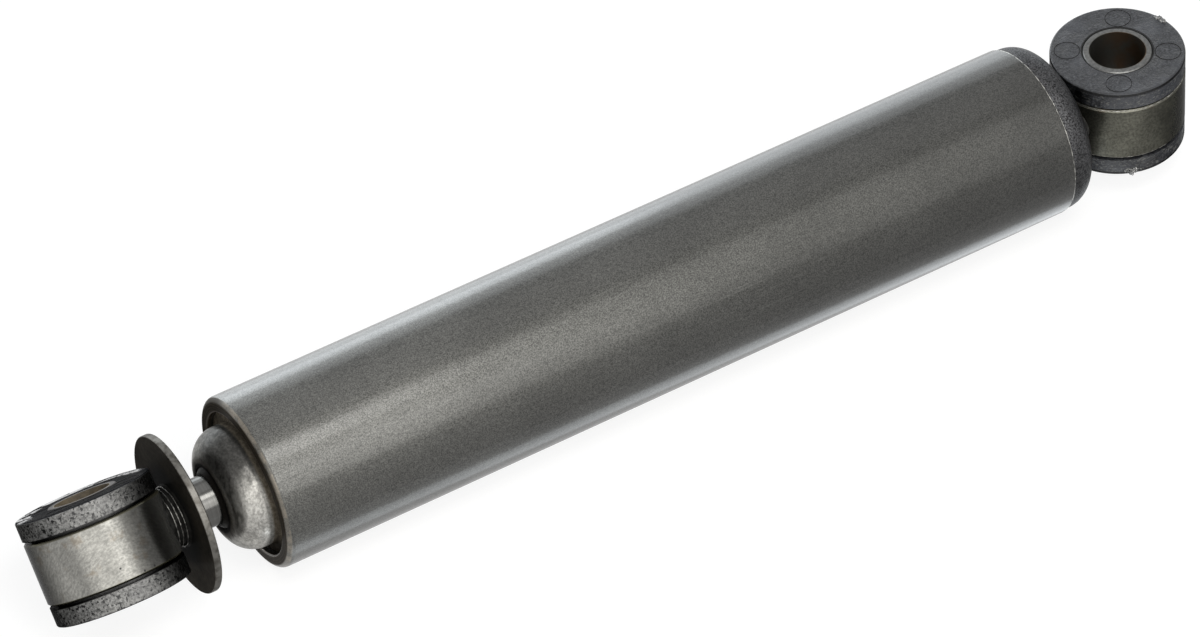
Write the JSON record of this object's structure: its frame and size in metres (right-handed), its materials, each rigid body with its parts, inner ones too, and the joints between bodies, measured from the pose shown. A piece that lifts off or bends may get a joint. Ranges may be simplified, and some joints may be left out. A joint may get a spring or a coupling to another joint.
{
  "type": "shock absorber",
  "caption": "Sealed twin-tube racing shock absorber, pushed in, with a rubber-bushed loop eye at each end, a chromed rod, a stop disc and a rolled tube end over a domed cap.",
  "frame": {"origin": "centre of the base eye's bore", "axes": "+X along the shock's axis from the base eye to the rod eye, +Z along the base eye's bore, +Y completes a right-handed frame"},
  "size_m": [0.36, 0.0494, 0.0494],
  "materials": {
    "tube_steel": "satin bare steel with a fine grain",
    "cap_steel": "black, coarse forged skin",
    "base_weld_steel": "dark weld metal",
    "rod_weld_steel": "bare weld metal",
    "base_eye_steel": "dark olive-grey steel",
    "rod_eye_steel": "satin steel with light stains",
    "base_rubber": "matte, slightly mottled",
    "rod_rubber": "matte, slightly mottled",
    "sleeve_steel": "bare steel, rust tint in the bore",
    "rod_chrome": "hard chrome, polished",
    "disc_steel": "dark brown-grey, brighter edge",
    "dome_steel": "satin pressed steel",
    "seal_rubber": "black rubber",
    "band_plastic": "brown filled plastic",
    "bearing_bronze": "plain bronze",
    "sintered_iron": "matte sintered iron",
    "inner_steel": "oiled bright steel"
  },
  "bodies": {
    "tube_body": {"reserve_tube": "tube_steel", "base_cap": "cap_steel", "base_eye_weld": "base_weld_steel", "base_eye_ring": "base_eye_steel", "base_eye_bushing_upper": "base_rubber", "base_eye_bushing_lower": "base_rubber", "pressure_tube": "inner_steel", "base_valve_body": "sintered_iron", "compression_shims": "inner_steel", "base_valve_bolt": "inner_steel", "base_valve_nut": "inner_steel", "intake_spring": "inner_steel", "intake_spring_retainer": "inner_steel", "rod_guide": "sintered_iron", "rod_guide_bushing": "bearing_bronze", "guide_seal_ring": "seal_rubber", "seal_support_washer": "inner_steel", "rod_seal": "seal_rubber", "garter_spring": "inner_steel", "dome_end_cap": "dome_steel"},
    "base_sleeve": {"base_eye_sleeve": "sleeve_steel"},
    "intake_valve": {"intake_plate": "inner_steel"},
    "band": {"piston_band": "band_plastic"},
    "rod": {"piston_rod": "rod_chrome", "stop_disc": "disc_steel", "rod_eye_weld": "rod_weld_steel", "rod_eye_ring": "rod_eye_steel", "rod_eye_bushing_upper": "rod_rubber", "rod_eye_bushing_lower": "rod_rubber", "piston_nut": "inner_steel", "rebound_backing_washer": "inner_steel", "rebound_shims": "inner_steel", "piston": "sintered_iron", "check_spring": "inner_steel", "check_stop_plate": "inner_steel", "rebound_stop_ring": "inner_steel", "rebound_bumper": "seal_rubber"},
    "check_valve": {"check_plate": "inner_steel"},
    "rod_sleeve": {"rod_eye_sleeve": "sleeve_steel"}
  },
  "joints": [
    {"name": "rod_slide", "type": "slide", "parent": "tube_body", "child": "band", "axis": [1, 0, 0], "range_m": [0, 0.165]},
    {"name": "rod_spin", "type": "hinge", "parent": "band", "child": "rod", "pos_m": [0.0712, 0, 0], "axis": [1, 0, 0], "continuous": true},
    {"name": "base_bushing_twist", "type": "hinge", "parent": "tube_body", "child": "base_sleeve", "pos_m": [0, 0, 0], "axis": [0, 0, 1], "range_deg": [-25, 25], "stiffness_Nm_per_rad": 4},
    {"name": "rod_bushing_twist", "type": "hinge", "parent": "rod", "child": "rod_sleeve", "pos_m": [0.322, 0, 0], "axis": [0, -0.6361, 0.7716], "range_deg": [-25, 25], "stiffness_Nm_per_rad": 4},
    {"name": "intake_plate_lift", "type": "slide", "parent": "tube_body", "child": "intake_valve", "axis": [1, 0, 0], "range_m": [0, 0.0012], "stiffness_N_per_m": 200, "springref_m": -0.002, "deforming": ["intake_spring"]},
    {"name": "check_plate_lift", "type": "slide", "parent": "rod", "child": "check_valve", "axis": [1, 0, 0], "range_m": [0, 0.0012], "stiffness_N_per_m": 200, "springref_m": -0.002, "deforming": ["check_spring"]}
  ]
}
